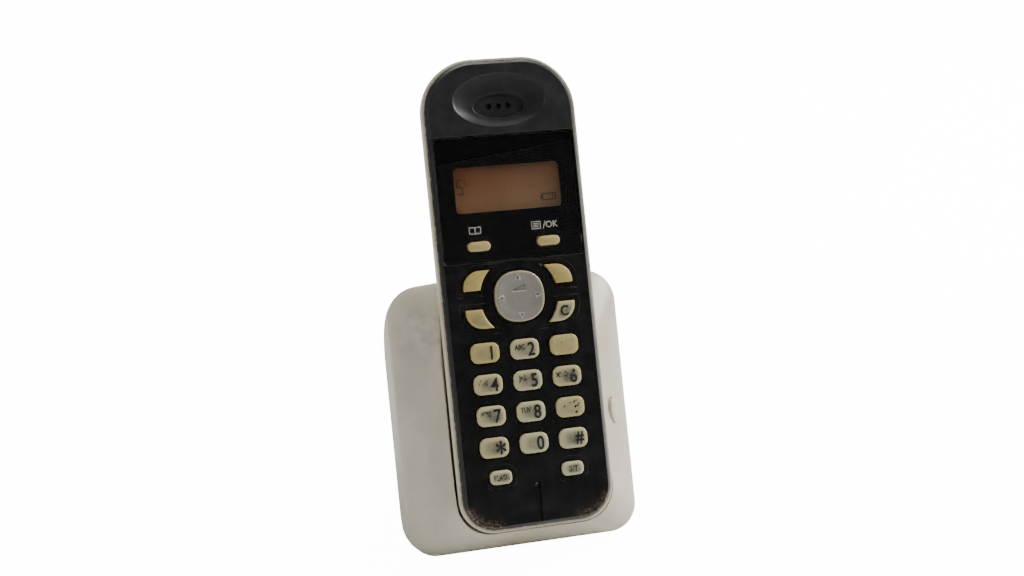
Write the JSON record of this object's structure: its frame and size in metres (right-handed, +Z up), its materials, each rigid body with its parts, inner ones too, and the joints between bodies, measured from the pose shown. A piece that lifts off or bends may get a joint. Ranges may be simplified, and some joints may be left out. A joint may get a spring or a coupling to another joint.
{
  "type": "cordless phone with base",
  "caption": "Slim cordless handset with keypad, display and earpiece dish, leaning in a rounded-square charging base that it lifts out of.",
  "frame": {"origin": "middle of the footprint, on the surface under the feet", "axes": "+Z up, keypad facing -Y and leaning back 22.7 degrees, +X to the right as the caller sees it"},
  "size_m": [0.075, 0.0886, 0.1497],
  "materials": {
    "black_case": "satin black moulded plastic, worn at the lower corners",
    "lens_clear": "clear gloss acrylic",
    "lens_black": "gloss black print behind the lens",
    "lcd": "amber display glass",
    "lcd_frame_white": "white display holder",
    "dark_plastic": "dark moulded plastic",
    "steel": "nickel-plated steel",
    "mat_rubber": "grey silicone rubber",
    "board": "green solder mask",
    "brass_strip": "plated spring strip",
    "cell_label": "green sleeve on a cell",
    "cream_case": "cream moulded plastic, slightly yellowed",
    "key_cream": "worn translucent cream key caps",
    "nav_pearl": "worn silver-pearl key cap",
    "base_grey": "warm light grey satin plastic with smudges",
    "page_grey": "warm light grey satin plastic",
    "foot_rubber": "dark rubber"
  },
  "bodies": {
    "base": {"base_front_cover": "base_grey", "base_rear_case": "base_grey", "base_board": "board", "line_socket": "dark_plastic", "power_inlet": "dark_plastic", "charge_spring_left": "brass_strip", "charge_spring_right": "brass_strip", "page_switch": "dark_plastic", "base_screw_left": "steel", "base_screw_right": "steel", "foot_front_left": "foot_rubber", "foot_front_right": "foot_rubber", "foot_rear_left": "foot_rubber", "foot_rear_right": "foot_rubber"},
    "handset": {"handset_front_case": "black_case", "display_lens": "lens_clear", "lens_mask": "lens_black", "lcd_glass": "lcd", "lcd_frame": "lcd_frame_white", "earpiece_receiver": "dark_plastic", "microphone": "steel", "keypad_mat": "mat_rubber", "handset_board": "board", "antenna": "brass_strip", "ringer": "dark_plastic", "battery_cell_left": "cell_label", "battery_cell_right": "cell_label", "battery_link": "steel", "battery_terminal_left": "steel", "battery_terminal_right": "steel", "charge_contact_left": "steel", "charge_contact_right": "steel", "handset_rear_case": "cream_case", "handset_screw_left": "steel", "handset_screw_right": "steel"},
    "nav_key_support": {"nav_key_support": "mat_rubber"},
    "nav_key": {"nav_key": "nav_pearl"},
    "battery_cover": {"battery_cover": "cream_case"},
    "page_button": {"page_button": "page_grey"},
    "key_1": {"key_1": "key_cream"},
    "key_2": {"key_2": "key_cream"},
    "key_3": {"key_3": "key_cream"},
    "key_4": {"key_4": "key_cream"},
    "key_5": {"key_5": "key_cream"},
    "key_6": {"key_6": "key_cream"},
    "key_7": {"key_7": "key_cream"},
    "key_8": {"key_8": "key_cream"},
    "key_9": {"key_9": "key_cream"},
    "key_star": {"key_star": "key_cream"},
    "key_0": {"key_0": "key_cream"},
    "key_hash": {"key_hash": "key_cream"},
    "small_key_left": {"small_key_left": "key_cream"},
    "small_key_right": {"small_key_right": "key_cream"},
    "soft_key_left": {"soft_key_left": "key_cream"},
    "soft_key_right": {"soft_key_right": "key_cream"},
    "corner_key_upper_left": {"corner_key_upper_left": "key_cream"},
    "corner_key_upper_right": {"corner_key_upper_right": "key_cream"},
    "corner_key_lower_left": {"corner_key_lower_left": "key_cream"},
    "corner_key_lower_right": {"corner_key_lower_right": "key_cream"}
  },
  "joints": [
    {"name": "handset_lift", "type": "slide", "parent": "base", "child": "handset", "axis": [0, 0.3859, 0.9225], "range_m": [0, 0.1]},
    {"name": "key_1_press", "type": "slide", "parent": "handset", "child": "key_1", "axis": [0, 0.9225, -0.3859], "range_m": [0, 0.0008], "stiffness_N_per_m": 300, "springref_m": -0.002},
    {"name": "key_2_press", "type": "slide", "parent": "handset", "child": "key_2", "axis": [0, 0.9225, -0.3859], "range_m": [0, 0.0008], "stiffness_N_per_m": 300, "springref_m": -0.002},
    {"name": "key_3_press", "type": "slide", "parent": "handset", "child": "key_3", "axis": [0, 0.9225, -0.3859], "range_m": [0, 0.0008], "stiffness_N_per_m": 300, "springref_m": -0.002},
    {"name": "key_4_press", "type": "slide", "parent": "handset", "child": "key_4", "axis": [0, 0.9225, -0.3859], "range_m": [0, 0.0008], "stiffness_N_per_m": 300, "springref_m": -0.002},
    {"name": "key_5_press", "type": "slide", "parent": "handset", "child": "key_5", "axis": [0, 0.9225, -0.3859], "range_m": [0, 0.0008], "stiffness_N_per_m": 300, "springref_m": -0.002},
    {"name": "key_6_press", "type": "slide", "parent": "handset", "child": "key_6", "axis": [0, 0.9225, -0.3859], "range_m": [0, 0.0008], "stiffness_N_per_m": 300, "springref_m": -0.002},
    {"name": "key_7_press", "type": "slide", "parent": "handset", "child": "key_7", "axis": [0, 0.9225, -0.3859], "range_m": [0, 0.0008], "stiffness_N_per_m": 300, "springref_m": -0.002},
    {"name": "key_8_press", "type": "slide", "parent": "handset", "child": "key_8", "axis": [0, 0.9225, -0.3859], "range_m": [0, 0.0008], "stiffness_N_per_m": 300, "springref_m": -0.002},
    {"name": "key_9_press", "type": "slide", "parent": "handset", "child": "key_9", "axis": [0, 0.9225, -0.3859], "range_m": [0, 0.0008], "stiffness_N_per_m": 300, "springref_m": -0.002},
    {"name": "key_star_press", "type": "slide", "parent": "handset", "child": "key_star", "axis": [0, 0.9225, -0.3859], "range_m": [0, 0.0008], "stiffness_N_per_m": 300, "springref_m": -0.002},
    {"name": "key_0_press", "type": "slide", "parent": "handset", "child": "key_0", "axis": [0, 0.9225, -0.3859], "range_m": [0, 0.0008], "stiffness_N_per_m": 300, "springref_m": -0.002},
    {"name": "key_hash_press", "type": "slide", "parent": "handset", "child": "key_hash", "axis": [0, 0.9225, -0.3859], "range_m": [0, 0.0008], "stiffness_N_per_m": 300, "springref_m": -0.002},
    {"name": "small_key_left_press", "type": "slide", "parent": "handset", "child": "small_key_left", "axis": [0, 0.9225, -0.3859], "range_m": [0, 0.0008], "stiffness_N_per_m": 300, "springref_m": -0.002},
    {"name": "small_key_right_press", "type": "slide", "parent": "handset", "child": "small_key_right", "axis": [0, 0.9225, -0.3859], "range_m": [0, 0.0008], "stiffness_N_per_m": 300, "springref_m": -0.002},
    {"name": "soft_key_left_press", "type": "slide", "parent": "handset", "child": "soft_key_left", "axis": [0, 0.9225, -0.3859], "range_m": [0, 0.0008], "stiffness_N_per_m": 300, "springref_m": -0.002},
    {"name": "soft_key_right_press", "type": "slide", "parent": "handset", "child": "soft_key_right", "axis": [0, 0.9225, -0.3859], "range_m": [0, 0.0008], "stiffness_N_per_m": 300, "springref_m": -0.002},
    {"name": "corner_key_upper_left_press", "type": "slide", "parent": "handset", "child": "corner_key_upper_left", "axis": [0, 0.9225, -0.3859], "range_m": [0, 0.0008], "stiffness_N_per_m": 300, "springref_m": -0.002},
    {"name": "corner_key_upper_right_press", "type": "slide", "parent": "handset", "child": "corner_key_upper_right", "axis": [0, 0.9225, -0.3859], "range_m": [0, 0.0008], "stiffness_N_per_m": 300, "springref_m": -0.002},
    {"name": "corner_key_lower_left_press", "type": "slide", "parent": "handset", "child": "corner_key_lower_left", "axis": [0, 0.9225, -0.3859], "range_m": [0, 0.0008], "stiffness_N_per_m": 300, "springref_m": -0.002},
    {"name": "corner_key_lower_right_press", "type": "slide", "parent": "handset", "child": "corner_key_lower_right", "axis": [0, 0.9225, -0.3859], "range_m": [0, 0.0008], "stiffness_N_per_m": 300, "springref_m": -0.002},
    {"name": "nav_key_rock_up_down", "type": "hinge", "parent": "handset", "child": "nav_key_support", "pos_m": [0, -0.01382, 0.08142], "axis": [1, 0, 0], "range_deg": [-3, 3], "stiffness_Nm_per_rad": 0.06},
    {"name": "nav_key_rock_left_right", "type": "hinge", "parent": "nav_key_support", "child": "nav_key", "pos_m": [0, -0.01382, 0.08142], "axis": [0, 0.3859, 0.9225], "range_deg": [-3, 3], "stiffness_Nm_per_rad": 0.06},
    {"name": "battery_cover_slide", "type": "slide", "parent": "handset", "child": "battery_cover", "axis": [0, -0.3859, -0.9225], "range_m": [0, 0.005]},
    {"name": "page_button_press", "type": "slide", "parent": "base", "child": "page_button", "axis": [-0.7446, 0.6158, -0.2576], "range_m": [0, 0.001], "stiffness_N_per_m": 300, "springref_m": -0.002}
  ]
}
